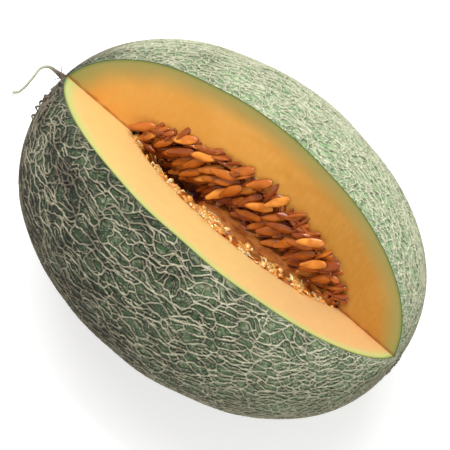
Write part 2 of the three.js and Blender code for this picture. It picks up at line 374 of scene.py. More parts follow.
class Graph:
    """A material's node tree, with one method that adds any node."""

    def __init__(self, name):
        self.material = bpy.data.materials.new(name)
        self.material.use_nodes = True
        self.tree = self.material.node_tree
        self.shader = self.tree.nodes["Principled BSDF"]

    def node(self, kind, settings, inputs):
        node = self.tree.nodes.new(kind)
        for key, value in settings.items():
            setattr(node, key, value)
        for key, value in inputs.items():
            self.feed(node.inputs[key], value)
        return Made(self, node)

    def feed(self, socket, value):
        if isinstance(value, Term):
            self.tree.links.new(value.socket, socket)
        elif socket.type == "RGBA":
            socket.default_value = (*value, 1)
        else:
            socket.default_value = value

    def maths(self, operation, a, b):
        return self.node("ShaderNodeMath", {"operation": operation}, {0: a, 1: b}).out("Value")

    def vectors(self, operation, a, b):
        settings = {"operation": operation}
        return self.node("ShaderNodeVectorMath", settings, {0: a, 1: b}).out("Vector")

    def mix(self, share, a, b):
        """Colour a where share is 0 and b where it is 1. Sockets 6, 7 and 2 are the colour ones."""
        inputs = {"Factor": share, 6: a, 7: b}
        return self.node("ShaderNodeMix", {"data_type": "RGBA"}, inputs).out(2)

    def place(self, stretch=(1, 1, 1)):
        """Where a point is on the object, in metres, stretched along each axis."""
        where = self.node("ShaderNodeTexCoord", {}, {}).out("Object")
        return self.vectors("MULTIPLY", where, stretch)

    def noise(self, size, stretch=(1, 1, 1), detail=3, roughness=0.55):
        """Noise from 0 to 1 with lumps of about this size in metres."""
        inputs = {"Vector": self.place(stretch), "Scale": 1 / size, "Detail": detail,
                  "Roughness": roughness}
        return self.node("ShaderNodeTexNoise", {}, inputs).out("Fac")

    def vein(self, size, stretch, wander):
        """Distance from the nearest of a net of fine lines, 0 on a line, in shares of a cell."""
        where = self.place(stretch)
        inputs = {"Vector": where, "Scale": 1 / size, "Detail": 2}
        noise = self.node("ShaderNodeTexNoise", {}, inputs).out("Color")
        away = self.vectors("SUBTRACT", noise, (0.5, 0.5, 0.5))
        moved = self.vectors("ADD", where, self.vectors("MULTIPLY", away, (2 * wander,) * 3))
        made = self.node("ShaderNodeTexVoronoi", {"feature": "DISTANCE_TO_EDGE"},
                         {"Vector": moved, "Scale": 1 / size})
        return made.out("Distance")

    def value(self, name):
        """A number that the mesh holds for each point."""
        return self.node("ShaderNodeAttribute", {"attribute_name": name}, {}).out("Fac")

    def bump(self, height, distance, strength=1.0):
        """A normal from a height of 0 to 1 over a distance in metres."""
        inputs = {"Height": height, "Distance": distance, "Strength": strength}
        return self.node("ShaderNodeBump", {}, inputs).out("Normal")

    def finish(self, **sockets):
        """Feeds the shader's sockets, whose names are given with _ for spaces."""
        for key, value in sockets.items():
            self.feed(self.shader.inputs[key.replace("_", " ")], value)
        return self.material


def colour_of(red, green, blue):
    """A colour of 0 to 255 screen values, as the linear numbers that shaders take."""
    shares = [part / 255 for part in (red, green, blue)]
    return tuple(s / 12.92 if s <= 0.04045 else ((s + 0.055) / 1.055) ** 2.4 for s in shares)


# ---- Materials ----


def rind_material(look):
    """Green skin under a raised net of tan cork, brown at the stem. It is paler on the side the key
    light falls on, partly a real paler net and partly painted light, with painted shade under the
    melon and around and along the ridges.
    """
    g = Graph("netted_rind")
    inside, pale, corky, far = map(g.value, ("net_inside", "pale_side", "corky_end", "far_end"))
    patch = g.noise(9 * MM)
    grain = g.noise(0.9 * MM, detail=4)
    speck = g.noise(1.6 * MM, stretch=(0.6, 1, 1), detail=2)
    dots = g.noise(0.8 * MM, detail=1)
    skin = g.mix((patch.step(0.3, 0.7) * 0.6 + far * 0.5).clamp(), look.skin_dark, look.skin_bright)
    # Partly painted light: skin and net turn paler on the side the key light falls on, where the
    # net is also really paler.
    skin = g.mix(pale, skin, look.skin_pale)
    skin = g.mix(speck.step(0.5, 0.68) * 0.6, skin, look.specks_and_painted_shade)
    # Brown near the stem is real cork; brown under the melon is painted shade.
    skin = g.mix(corky * 0.6, skin, look.skin_brown)
    ridge = g.mix((patch.step(0.35, 0.65) * 0.6 + far * 0.5).clamp(), look.net_dark, look.net_light)
    ridge = g.mix(pale, ridge, look.net_pale)
    ridge = g.mix(corky * 0.7, ridge, look.cork_brown)
    skin = g.mix(dots.step(0.5, 0.7) * 0.24, skin, ridge)
    ridge = g.mix(grain.step(0.35, 0.65) * 0.25, ridge, look.specks_and_painted_shade)
    vein = g.vein(3.1 * MM, (0.45, 1, 1), 1.1 * MM)
    faint = vein.step(0.13, 0.03) * speck.step(0.62, 0.4) * (0.42 + pale * 0.4)
    skin = g.mix(faint, skin, ridge)
    # Painted shade around the foot of each ridge, weaker on the lit side.
    around = inside.step(-0.45, -0.05) * (1 - pale * 0.8) * 0.85
    colour = g.mix(around, skin, look.specks_and_painted_shade)
    mask = inside.step(-0.03, 0.16)
    # Painted shade on each ridge's flanks, with a lighter crest, weaker on the lit side.
    foot = g.mix(0.4 - pale * 0.2, ridge, look.specks_and_painted_shade)
    ridge = g.mix(inside.step(0.04, 0.3), foot, ridge)
    colour = g.mix(mask, colour, ridge)
    height = grain * 0.25 + speck * 0.2 + faint * 0.5 + inside.step(-0.12, 0.42) * 1.6
    return g.finish(
        Base_Color=colour,
        Roughness=mask.step(0, 1, 0.62, 0.85),
        Specular_IOR_Level=0.28,
        Normal=g.bump(height, 0.55 * MM, 0.9),
    )


def flesh_material(look):
    """Wet orange flesh that turns olive and then dark green towards the skin. The two cuts are lit
    and shaded copies in painted light: the front cut paler and yellower, the back cut deeper
    orange.
    """
    g = Graph("melon_flesh")
    depth, front, cavity, far = map(g.value, ("skin_depth", "front_face", "cavity_near", "far_end"))
    cloud = g.noise(22 * MM, detail=1)
    fibre = g.noise(1.6 * MM, stretch=(1, 0.3, 0.3), detail=3)
    # Painted light: the back cut gets shaded, deeper orange tones and the front cut lit, paler
    # ones, though both are the same flesh.
    shaded_back_tone = g.mix(far.step(0.3, 1.0), look.flesh_orange, look.flesh_deep)
    lit_front_tone = g.mix(far.step(0.55, 1.0), look.flesh_pale, look.flesh_peach)
    colour = g.mix(front, shaded_back_tone, lit_front_tone)
    colour = g.mix(fibre.step(0.4, 0.8) * 0.1 + cloud.step(0.4, 0.75) * 0.1, colour,
                   look.flesh_light)
    wavy = depth * (1 + far * 0.25) + (cloud - 0.5) * 4
    # The green band near the rind is real, with painted light in its colour and width: olive and
    # wide on the shaded back cut, lime and narrow on the lit front cut.
    olive = wavy.step(15, 1.0) * (1 - front) + wavy.step(8, 1.0) * front
    olive_tone = g.mix(front, look.flesh_olive, look.flesh_lime)
    colour = g.mix(olive * 0.95, colour, olive_tone)
    colour = g.mix(depth.step(1.8, 0.6) * 0.7, colour, look.flesh_green)
    colour = g.mix(depth.step(0.5, 0.25) * 0.75, colour, look.skin_dark)
    # Real wet flesh along the cavity, with painted light on its two tones: darker on the shaded
    # back cut, lighter on the lit front cut.
    stain = g.mix(front, look.flesh_stain, look.flesh_wet)
    colour = g.mix(cavity * (0.85 - front * 0.45), colour, stain)
    cells = g.noise(0.7 * MM, detail=3)
    height = cells * 0.7 + fibre * 0.3
    return g.finish(
        Base_Color=colour,
        Roughness=cells.step(0.3, 0.7, 0.32, 0.5),
        Normal=g.bump(height, 0.07 * MM, 0.5),
        Subsurface_Weight=0.3,
        Subsurface_Radius=(1.0, 0.45, 0.15),
        Subsurface_Scale=3 * MM,
        Coat_Weight=0.12,
        Coat_Roughness=0.2,
    )


def pulp_material(look):
    """Wet seed pulp: orange brown where it is lit, and painted shade, dark red brown, down in the
    hollow.
    """
    g = Graph("seed_pulp")
    hollow_shade, film, milk_and_sheen = map(g.value, ("painted_hollow_shade", "film_share", "film_milk_and_sheen"))
    streak = g.noise(2.2 * MM, stretch=(0.3, 1, 1), detail=4)
    lumps = g.noise(5 * MM, detail=3)
    colour = g.mix(streak.step(0.35, 0.65), look.pulp_brown, look.pulp_orange)
    colour = g.mix(lumps.step(0.5, 0.75) * 0.4, colour, look.pulp_light)
    # Painted shade: the pulp darkens down in the hollow.
    colour = g.mix(hollow_shade, colour, look.pulp_shade)
    skin = g.mix(lumps.step(0.35, 0.65), look.film_brown, look.film_tan)
    # A pale patch on the film: partly a milky membrane and partly a painted highlight.
    skin = g.mix(milk_and_sheen * lumps.step(0.3, 0.6), skin, look.film_pale)
    colour = g.mix(film * 0.9, colour, skin)
    height = streak * 0.6 + lumps * 0.4
    return g.finish(
        Base_Color=colour,
        Roughness=streak.step(0.3, 0.7, 0.16, 0.38),
        Normal=g.bump(height, 0.4 * MM, 0.7),
        Subsurface_Weight=0.3,
        Subsurface_Radius=(1.0, 0.35, 0.1),
        Subsurface_Scale=2.5 * MM,
        Coat_Weight=0.5,
        Coat_Roughness=0.08,
    )


def fringe_material(look):
    """Torn, wet shreds of flesh, from dark strings to pale fibres."""
    g = Graph("torn_fringe")
    tone = g.value("shred_tone")
    mottle = g.noise(3 * MM, detail=3)
    fine = g.noise(0.8 * MM, detail=3)
    colour = g.mix(tone.step(0.0, 0.5), look.fringe_dark, look.fringe_orange)
    colour = g.mix(tone.step(0.5, 1.0), colour, look.fringe_pale)
    colour = g.mix(mottle.step(0.45, 0.7) * 0.4, colour, look.fringe_orange)
    return g.finish(
        Base_Color=colour,
        Roughness=fine.step(0.3, 0.7, 0.12, 0.32),
        Normal=g.bump(fine, 0.12 * MM, 0.5),
        Subsurface_Weight=0.5,
        Subsurface_Radius=(1.0, 0.45, 0.15),
        Subsurface_Scale=2 * MM,
        Coat_Weight=0.6,
        Coat_Roughness=0.06,
    )


def seed_material(look):
    """A wet amber seed coat with fine lengthways grain."""
    g = Graph("wet_seed")
    tone = g.value("seed_tone") + (g.noise(5 * MM, detail=1) - 0.5) * 0.7
    rim = g.value("seed_rim")
    grain = g.noise(0.6 * MM, detail=3)
    colour = g.mix(tone.step(0.1, 0.65), look.seed_brown, look.seed_amber)
    colour = g.mix(tone.step(0.75, 1.1), colour, look.seed_light)
    colour = g.mix(rim * 0.8, colour, look.seed_rim)
    return g.finish(
        Base_Color=colour,
        Roughness=grain.step(0.3, 0.7, 0.1, 0.24),
        Normal=g.bump(grain, 0.08 * MM, 0.5),
        Subsurface_Weight=0.25,
        Subsurface_Radius=(1.0, 0.4, 0.12),
        Subsurface_Scale=1.5 * MM,
        Specular_IOR_Level=0.35,
        Coat_Weight=0.45,
        Coat_Roughness=0.06,
    )


def stem_material(look):
    """A dry stalk: dark and corky at its seat, pale grey green along its length."""
    g = Graph("dry_stem")
    reach = g.value("stem_reach")
    fibres = g.noise(1.2 * MM, detail=4)
    colour = g.mix(fibres.step(0.3, 0.7), look.stem_grey, look.stem_green)
    colour = g.mix(reach.step(0.46, 0.08), colour, look.stem_dark)
    colour = g.mix(reach.step(0.85, 1.0) * 0.5, colour, look.net_pale)
    return g.finish(
        Base_Color=colour,
        Roughness=fibres.step(0.3, 0.7, 0.7, 0.9),
        Normal=g.bump(fibres, 0.3 * MM, 0.8),
    )


def floor_material():
    """A plain pale table top."""
    g = Graph("pale_floor")
    faint = g.noise(0.05, detail=2)
    colour = g.mix(faint, (0.63, 0.63, 0.63), (0.65, 0.65, 0.65))
    return g.finish(Base_Color=colour, Roughness=0.9, Emission_Color=(1, 1, 1),
                    Emission_Strength=0.52)


# ---- The net on the rind ----


def scatter(points, weights, spacing, seed, tries):
    """Picks points no nearer to each other than spacing, which is given for every point."""
    rng = np.random.default_rng(seed)
    order = rng.choice(len(points), size=tries, p=weights / weights.sum())
    kept = np.empty((tries, 3))
    count = 0
    for number in order:
        point = points[number]
        gap = kept[:count] - point
        if count == 0 or (gap * gap).sum(1).min() > spacing[number] ** 2:
            kept[count] = point
            count += 1
    return kept[:count]


def border_distance(points, slopes, features):
    """How far each point is from the border of its cell, and which cell it is in.

    The points are in a bent space: slopes holds how they move there, along the mesh's rows and
    along its columns, for each metre of real skin. The distances are real."""
    tree = kdtree.KDTree(len(features))
    for number, feature in enumerate(features):
        tree.insert(feature, number)
    tree.balance()
    rivals = 3  # how many cells are tried as the neighbour
    flattest = 0.05  # the least slope that is divided by
    near = np.array([[hit[1] for hit in tree.find_n(point, 1 + rivals)] for point in points])
    own = features[near[:, 0]]
    best = np.full(len(points), 1.0)
    for rank in range(1, 1 + rivals):
        other = features[near[:, rank]]
        across = unit(other - own)
        away = ((points - (own + other) / 2) * -across).sum(1)
        steepness = np.hypot(*((slope * across).sum(1) for slope in slopes))
        best = np.minimum(best, away / np.maximum(steepness, flattest))
    return best, near[:, 0]


def slopes_of(bent, real):
    """How bent points move along both ways of the mesh for each metre that the real ones move."""
    slopes = []
    for way in (0, 1):
        length = np.linalg.norm(np.gradient(real, axis=way), axis=-1, keepdims=True)
        slopes.append((np.gradient(bent, axis=way) / np.maximum(length, 1e-7)).reshape(-1, 3))
    return slopes


def net_field(look, points, areas, fineness):
    """How far inside a ridge of the net each point of the skin lies, in millimetres."""
    flat = points.reshape(-1, 3)
    size = fineness.ravel()
    bent = flat + 1.7 * MM * ripple_vector(flat, 17 * MM, 11)
    bent += 0.45 * MM * ripple_vector(flat, 4.2 * MM, 17)
    bent[:, 1:] -= form.centre[1:]
    bent[:, 0] = form.meridian_length(bent[:, 0]) / look.net_stretch
    slopes = slopes_of(bent.reshape(points.shape), points)
    weights = areas.ravel() / size**2
    spacing = look.net_spacing * MM * size
    large = scatter(bent, weights, spacing, seed=5, tries=14000)
    wide, cell = border_distance(bent, slopes, large)
    aside = np.zeros((len(large), 3))
    aside[:, 0] = np.arange(len(large))  # a metre apart, so that no small cell spans two large ones
    apart = bent + aside[cell]
    small = scatter(apart, weights, spacing * 0.55, seed=6, tries=30000)
    fine, _ = border_distance(apart, slopes, small)
    presence = smoothstep(-1.1, -0.05, ripple(flat, 8 * MM, 23))
    width = look.ridge_width * MM * (1 + 0.14 * ripple(flat, 7 * MM, 29))
    inside_large = width * size**0.5 - wide
    inside_small = 0.75 * width * presence * size**0.35 - fine - (1 - presence) * 0.4 * MM
    return (np.maximum(inside_large, inside_small) / MM).reshape(points.shape[:-1])


# ---- Pieces ----


def melon_body(look):
    """Rind, flesh and cavity wall as one closed mesh."""
    rows, columns, across, cavity_columns = look.rows, look.columns, 46, 64
    theta = np.linspace(0, math.pi, rows + 1)[:, None]
    alpha = np.linspace(form.back_angle, form.front_angle, columns + 1)[None, :]
    ways = form.direction(theta, alpha)
    reach = form.skin_distance(ways)
    skin = form.place_at(ways, reach)
    normals = form.skin_normal(skin)
    areas = reach**2 * np.sin(theta)

    back_share = smoothstep(-0.35, 0.6, normals[..., 1])
    blossom_share = smoothstep(-0.3, 0.9, normals[..., 0])
    fineness = 1 - 0.3 * back_share - 0.3 * blossom_share * (1 - back_share)
    inside = net_field(look, skin, areas, fineness)

    stem_seat = form.middle + form.direction(0.0, 0.0) * reach[0, 0]
    stem_near = np.linalg.norm(skin - stem_seat, axis=-1)
    corky = smoothstep(46 * MM, 8 * MM, stem_near + 6 * MM * ripple(skin, 14 * MM, 41))
    # Painted shade: the skin darkens to brown as it turns to face down.
    under = smoothstep(0.6, -0.35, normals[..., 2]) * 0.75
    # pale is partly the real paler net on the back and at the blossom end, and partly painted light
    # on the side the key light falls on.
    pale = back_share * 0.85 + 0.62 * blossom_share
    pale = np.clip(pale + 0.12 * ripple(skin, 22 * MM, 47), 0, 1)

    crown = np.clip(inside / (look.ridge_width * 0.9), 0, 1)
    to_rim = reach * np.minimum(alpha - form.back_angle, form.front_angle - alpha) * np.sin(theta)
    relief = look.ridge_height * MM * np.sqrt(1 - (1 - crown) ** 2)
    relief *= smoothstep(0, 2.5 * MM, to_rim)  # the net fades out at the cuts
    relief += 0.5 * MM * ripple(skin, 45 * MM, 3) * np.sin(theta)
    end_scar = np.hypot(skin[..., 1], skin[..., 2] - form.centre[2])
    scar = smoothstep(7 * MM, 4.5 * MM, end_scar)
    relief += scar * MM * (0.25 + 0.3 * ripple(skin, 3 * MM, 51))
    # corky now holds the real cork at the stem and the blossom scar, and painted shade under the
    # melon.
    corky = np.clip(np.maximum(corky, 0.6 * scar) + under, 0, 1)
    skin = skin + ways * relief[..., None]
    skin[..., 2] = np.maximum(skin[..., 2], 0)
    close_ends(skin)

    tables = {"net_inside": [], "pale_side": [], "corky_end": [], "skin_depth": [],
              "front_face": [], "cavity_near": [], "rim_line": [], "far_end": []}
    blocks = []

    def add(some, **values):
        """Adds a block of points with their values, and gives the numbers of the points."""
        start = sum(len(block) for block in blocks)
        block = some.reshape(-1, 3)
        blocks.append(block)
        values["far_end"] = smoothstep(-70 * MM, 80 * MM, some[..., 0])
        for name, table in tables.items():
            given = np.asarray(values.get(name, 0.0))
            table.append(np.broadcast_to(given, some.shape[:-1]).reshape(-1))
        return np.arange(start, start + len(block)).reshape(some.shape[:-1])

    outer = add(skin, net_inside=inside, pale_side=pale, corky_end=corky, rim_line=sides_of(skin))
    close_ends(outer)

    hollow_alpha = np.linspace(form.back_angle, form.front_angle, cavity_columns + 1)[None, :]
    hollow_ways = form.direction(theta, hollow_alpha)
    hollow_reach = form.cavity_distance(hollow_ways)
    ragged = 0.5 * MM * ripple(form.place_at(hollow_ways, hollow_reach), 7 * MM, 61)
    hollow = form.place_at(hollow_ways, hollow_reach + ragged * np.sin(theta))
    close_ends(hollow)
    inner = add(hollow, skin_depth=30.0, cavity_near=1.0, rim_line=sides_of(hollow))
    close_ends(inner)

    share = np.linspace(0, 1, across + 1)[None, 1:-1, None]
    end_line = np.zeros((rows + 1, across - 1))
    end_line[[0, -1]] = 1
    faces = grid_faces(outer)
    rind_faces = len(faces)
    shared_ends = None
    cuts = ((0, form.back_normal, 0.0, True), (-1, form.front_normal, 1.0, False))
    for column, normal, is_front, flip in cuts:
        rim, lip = skin[:, column][:, None], hollow[:, column][:, None]
        face = rim + (lip - rim) * share
        slant = (ways[:, column] * normals[:, column]).sum(-1)[:, None]
        depth = np.linalg.norm(face - rim, axis=-1) * slant / MM
        to_lip = np.linalg.norm(face - lip, axis=-1)
        fade = np.minimum(1, np.minimum(depth / 3, to_lip / (2 * MM))) * np.sin(theta)
        face = face + normal * (fade * 0.07 * MM * ripple(face, 9 * MM, 71))[..., None]
        near = smoothstep(3.4 * MM, 0, to_lip + 1.1 * MM * ripple(face, 3.5 * MM, 77))
        # The flesh is also darker along the crease where the two cuts meet.
        to_crease = np.linalg.norm(np.cross(face - form.middle, form.along), axis=-1)
        crease = smoothstep(1.9 * MM, 0, to_crease + 0.5 * MM * ripple(face, 5 * MM, 79))
        near = np.maximum(near, 0.8 * crease)
        body = add(face, skin_depth=depth, front_face=is_front, cavity_near=near, rim_line=end_line)
        if shared_ends is None:
            shared_ends = body[0].copy(), body[-1].copy()
        body[0], body[-1] = shared_ends
        whole = np.concatenate([outer[:, column][:, None], body, inner[:, column][:, None]], axis=1)
        faces += grid_faces(whole, flip)
    faces += grid_faces(inner, flip=True)
    slots = np.arange(len(faces)) >= rind_faces

    used = np.unique(np.concatenate([np.asarray(face) for face in faces]))
    renumber = np.zeros(sum(len(block) for block in blocks), dtype=int)
    renumber[used] = np.arange(len(used))
    faces = [renumber[face].tolist() for face in faces]
    materials = [rind_material(look), flesh_material(look)]
    made = make_object("melon_body", np.concatenate(blocks)[used], faces, materials, slots)
    for name, table in tables.items():
        add_values(made, name, np.concatenate(table)[used])
    sharpen(made, np.concatenate(tables["rim_line"])[used] > 0.5)
    return made


def sharpen(made, on_line):
    """Marks the edges between these points as sharp, so that the faces beside them shade apart."""
    mesh = made.data
    pairs = np.empty(len(mesh.edges) * 2, dtype=np.int32)
    mesh.edges.foreach_get("vertices", pairs)
    marks = mesh.attributes
    layer = marks.get("sharp_edge") or marks.new("sharp_edge", "BOOLEAN", "EDGE")
    layer.data.foreach_set("value", on_line[pairs.reshape(-1, 2)].all(1))


def surface_of(made):
    """A made object's surface, for finding where a straight line meets it."""
    points = [point.co for point in made.data.vertices]
    return BVHTree.FromPolygons(points, [face.vertices for face in made.data.polygons])


def seed_pulp(look):
    """The pulp that fills the cavity: its cut surface is stringy and wet."""
    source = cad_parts["pulp"].data
    faces = [list(face.vertices) for face in source.polygons]
    made = make_object("seed_pulp", node_points("pulp"), faces, [])
    remesh = made.modifiers.new("remesh", "REMESH")
    remesh.mode = "VOXEL"
    remesh.voxel_size = look.grain
    state = bpy.context.evaluated_depsgraph_get()
    fine = bpy.data.meshes.new_from_object(made.evaluated_get(state))
    made.modifiers.clear()
    made.data = fine
    fine.materials.append(pulp_material(look))
    points, normals = vectors_of(fine, "co"), vectors_of(fine, "normal")
    level = np.linalg.norm((points - form.cavity_centre) / form.cavity_halves, axis=1)
    free = smoothstep(0.985, 0.93, level)
    strings = ripple(points * [0.35, 1, 1], 5 * MM, 81) * 0.6 + ripple(points, 2.6 * MM, 83) * 0.4
    lumps = ripple(points, 9 * MM, 85)
    lift = free * look.roughness * (0.6 * strings + 0.5 * lumps)
    points = points + normals * lift[:, None]
    skin_share, milk_and_sheen = cover_hollow(points)
    fine.vertices.foreach_set("co", points.ravel())
    fine.shade_smooth()
    fine.update()
    # Painted shade, deepest low in the hollow and within its width, and none where the film lies.
    height = points[:, 2] - form.centre[2]
    aside = np.abs(points[:, 1] - HOLLOW_MIDDLE)
    hollow_shade = smoothstep(19 * MM, 7 * MM, height) * smoothstep(11 * MM, 7 * MM, aside)
    add_values(made, "painted_hollow_shade", hollow_shade * (1 - skin_share))
    add_values(made, "film_share", skin_share)
    add_values(made, "film_milk_and_sheen", milk_and_sheen)
    return made


def cover_hollow(points):
    """Lifts the hollow's floor to a thin wet skin over its far part, and tells where it is."""
    share = np.clip((points[:, 1] - HOLLOW_MIDDLE) / HOLLOW_HALF / 2 + 0.5, 0, 1)
    edges = []
    for normal, offset, aside, sunk in (
        (form.front_normal, form.front_offset, -HOLLOW_HALF, 1.5 * MM),
        (form.back_normal, form.back_offset, HOLLOW_HALF, 4.5 * MM),
    ):
        y = HOLLOW_MIDDLE + aside
        edges.append((offset - sunk - normal[0] * points[:, 0] - normal[1] * y) / normal[2])
    floor = edges[0] * (1 - share) + edges[1] * share - 3.2 * MM * np.sin(math.pi * share)
    floor += 0.35 * MM * ripple(points * [0.6, 1, 1], 8 * MM, 87)
    x = points[:, 0] + 3 * MM * ripple(points, 12 * MM, 89)
    covered = smoothstep(-24 * MM, -7 * MM, x) * smoothstep(52 * MM, 44 * MM, points[:, 0])
    within = smoothstep(HOLLOW_HALF + 1.6 * MM, HOLLOW_HALF, np.abs(points[:, 1] - HOLLOW_MIDDLE))
    above = points[:, 2] - form.centre[2] > -4 * MM
    lift = np.where(above & (points[:, 2] < floor), floor - points[:, 2], 0)
    points[:, 2] += lift * covered * within
    near = smoothstep(1.5 * MM, 0.3 * MM, np.abs(points[:, 2] - floor))
    # A pale patch near the front of the hollow: partly a milky membrane and partly a painted
    # highlight.
    milk_and_sheen = smoothstep(0.55, 0.05, share) * smoothstep(20 * MM, 4 * MM, np.abs(x + 4 * MM))
    return covered * within * above * near, milk_and_sheen


def seed_shape(size, seed, rings=22, sides=26):
    """Points and faces of a seed along X with its point at -X: a plump lens with a thin rim."""
    rng = np.random.default_rng(seed)
    turn = np.linspace(0, math.pi, rings + 1)[1:-1, None]
    round_ = np.linspace(0, 2 * math.pi, sides, endpoint=False)[None, :]
    along = np.broadcast_to(-np.cos(turn), (rings - 1, sides))
    taper = 1 - 0.34 * smoothstep(0.3, -1.0, along)
    wide = np.sin(turn) ** 0.74 * taper
    swell = 1 + 0.06 * rng.normal()
    y = wide * np.cos(round_)
    rise = np.sin(round_)
    z = np.sin(turn) ** 0.85 * taper * np.sign(rise) * np.abs(rise) ** 1.08 * swell
    points = np.stack([along, y, z], axis=-1).reshape(-1, 3)
    points = np.concatenate([[[-1.0, 0, 0]], points, [[1.0, 0, 0]]]) * np.asarray(size) / 2
    bend = rng.normal() * 0.35 * MM
    points[:, 2] += bend * (points[:, 0] / size[0] * 2) ** 2
    points += 0.1 * MM * ripple_vector(points, 4.5 * MM, 200 + seed)
    index = 1 + np.arange((rings - 1) * sides).reshape(rings - 1, sides)
    index = np.concatenate([index, index[:, :1]], axis=1)
    first = np.zeros((1, sides + 1), dtype=int)
    last = np.full((1, sides + 1), len(points) - 1)
    return points, grid_faces(np.concatenate([first, index, last]))


def seed_frame(points):
    """Where a seed's solid lies: its centre, its directions from long to short, and its size."""
    middle = (points.max(0) + points.min(0)) / 2
    _, _, axes = np.linalg.svd(points - points.mean(0), full_matrices=False)
    local = (points - middle) @ axes.T
    low, high = local.min(0), local.max(0)
    middle = middle + axes.T @ ((low + high) / 2)
    local = (points - middle) @ axes.T
    blunt = np.abs(local[local[:, 0] > 0, 1]).mean()
    pointed = np.abs(local[local[:, 0] < 0, 1]).mean()
    if pointed > blunt:
        axes[0] *= -1
    if axes[2][2] < 0:
        axes[2] *= -1
    axes[1] = np.cross(axes[2], axes[0])
    return middle, axes, high - low


def seed_names():
    """The names of the seeds' solids, in order."""
    return sorted(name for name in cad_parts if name.startswith("seed_"))


def rim_share(points, thickness):
    """How near each point of a seed is to its rim."""
    return smoothstep(0.55, 0.95, 1 - np.abs(points[:, 2]) / (thickness / 2))


def melon_seeds(look):
    """One finished seed in the place of each seed's solid, a little shorter and plumper than it."""
    rng = np.random.default_rng(look.draw + 1)
    material = seed_material(look)
    made = []
    for number, name in enumerate(seed_names()):
        middle, axes, size = seed_frame(node_points(name))
        points, faces = seed_shape(size * SEED_TRIM, number)
        seed = make_object("wet_" + name, middle + points @ axes, faces, [material])
        add_values(seed, "seed_rim", rim_share(points, size[2] * SEED_TRIM[2]))
        add_values(seed, "seed_tone", np.full(len(points), rng.random()))
        made.append((seed, name))
    return made


def lip_line(angle, normal, start, end):
    """Places along the cavity's lip on one cut, and the way down that cut from the lip."""
    theta = np.linspace(0, math.pi, 721)
    ways = form.direction(theta, angle)
    lip = form.place_at(ways, form.cavity_distance(ways))
    lengths = np.concatenate([[0], np.cumsum(np.linalg.norm(np.diff(lip, axis=0), axis=1))])
    wanted = lengths[-1] * np.linspace(start, end, LIP_PLACES)
    places = np.stack([np.interp(wanted, lengths, lip[:, k]) for k in range(3)], axis=-1)
    down = np.cross(form.along, normal)
    return places, -down * np.sign(down[2])


def width_at(share, power):
    """How wide what lies beside a lip is at a share of the lip, against its widest place."""
    return math.sin(math.pi * (0.08 + 0.84 * share)) ** power


def ground_under(surface, spot):
    """The height of the flesh or the pulp under or over a place on one of the cuts, or None."""
    if np.linalg.norm((spot - form.cavity_centre) / form.cavity_halves) > 1:
        return spot[2]
    hit = surface.ray_cast(Vector((spot[0], spot[1], 0.2)), Vector((0, 0, -1)))[0]
    return hit.z if hit else None


def loose_seeds(look, pulp):
    """Smaller seeds heaped between and beside the others, many of them on edge, as one mesh."""
    rng = np.random.default_rng(look.draw)
    surface = surface_of(pulp)
    frames = [seed_frame(node_points(name)) for name in seed_names()]
    lip, down = lip_line(form.back_angle, form.back_normal, 0.03, 0.975)
    parts, rims, tones = [], [], []
    for number in range(look.loose):
        share = rng.random()
        reach = look.band * width_at(share, 0.5)
        beside = rng.random() < 0.35
        inward = rng.uniform(-3.0, 1.5) * MM if beside else rng.random() * reach
        spot = lip[int(share * (LIP_PLACES - 1))] + down * inward
        ground = ground_under(surface, spot)
        if ground is None:
            continue
        axes, size = min(frames, key=lambda other: np.linalg.norm(other[0] - spot))[1:]
        roll = rng.choice([-1, 1]) * rng.uniform(0.3, 1.0) if beside else rng.normal() * 0.5
        turn = (Matrix.Rotation(rng.normal() * 0.2, 3, "Y")
                @ Matrix.Rotation(rng.normal() * 0.45, 3, "Z") @ Matrix.Rotation(roll, 3, "X"))
        scale = rng.uniform(0.52, 0.8) if beside else rng.uniform(0.7, 0.98)
        points, faces = seed_shape(size * scale * [1, 1, 1.25], 500 + number, 16, 18)
        rims.append(rim_share(points, size[2] * scale))
        tones.append(np.full(len(points), rng.random() * (0.5 if beside else 1)))
        lift = rng.uniform(0.8, 3.0) * MM if beside else rng.uniform(0.1, look.depth / MM) * MM
        place = np.array([spot[0], spot[1], ground + lift])
        parts.append((place + points @ np.array(turn).T @ axes, faces))
    points, faces = gather(parts)
    made = make_object("loose_seeds", points, faces, [bpy.data.materials["wet_seed"]])
    add_values(made, "seed_rim", np.concatenate(rims))
    add_values(made, "seed_tone", np.concatenate(tones))
    return made


def lip_shreds(look, surface, rng, line, count, reach, radius, tones):
    """Bent, tapered shreds beside a lip: their points and faces, and how pale they are."""
    lip, down = line
    lip_length = 0.13  # roughly, for bunching the shreds
    parts, paleness = [], []
    steps = np.linspace(0, 1, 12)
    for _ in range(count):
        share = rng.random()
        if ripple(np.array([[share * lip_length, 0, 0]]), 9 * MM, 97)[0] < rng.uniform(-0.9, 0.3):
            continue
        inward = rng.uniform(*reach) * width_at(share, 0.6)
        tone = rng.uniform(*tones)
        slim = rng.uniform(0.45, 1.25)
        length = rng.uniform(0.4, 1.0) * look.shred_length * (1.35 - 0.4 * slim)
        heading = rng.normal() * 0.6
        way = down * math.cos(heading) + form.along * math.sin(heading)
        start = lip[int(share * (LIP_PLACES - 1))] + down * (inward - 0.8 * MM)
        path = []
        for t in np.linspace(0, 1, 7):
            spot = start + way * length * t + form.along * rng.normal() * 0.3 * MM
            ground = ground_under(surface, spot)
            height = spot[2] if ground is None else min(ground, spot[2] + 2 * MM)
            path.append([spot[0], spot[1], height + (0.3 + 0.7 * math.sin(math.pi * t)) * MM])
        profile = np.interp(steps, np.linspace(0, 1, 7), [0.5, 0.95, 1.1, 0.9, 0.7, 0.5, 0.22])
        squash = rng.uniform(0.55, 0.95)
        some, faces = tube(smooth_path(path, 12), radius * slim * profile, 8, squash)
        parts.append((some, faces))
        paleness.append(np.full(len(some), tone))
    return parts, paleness


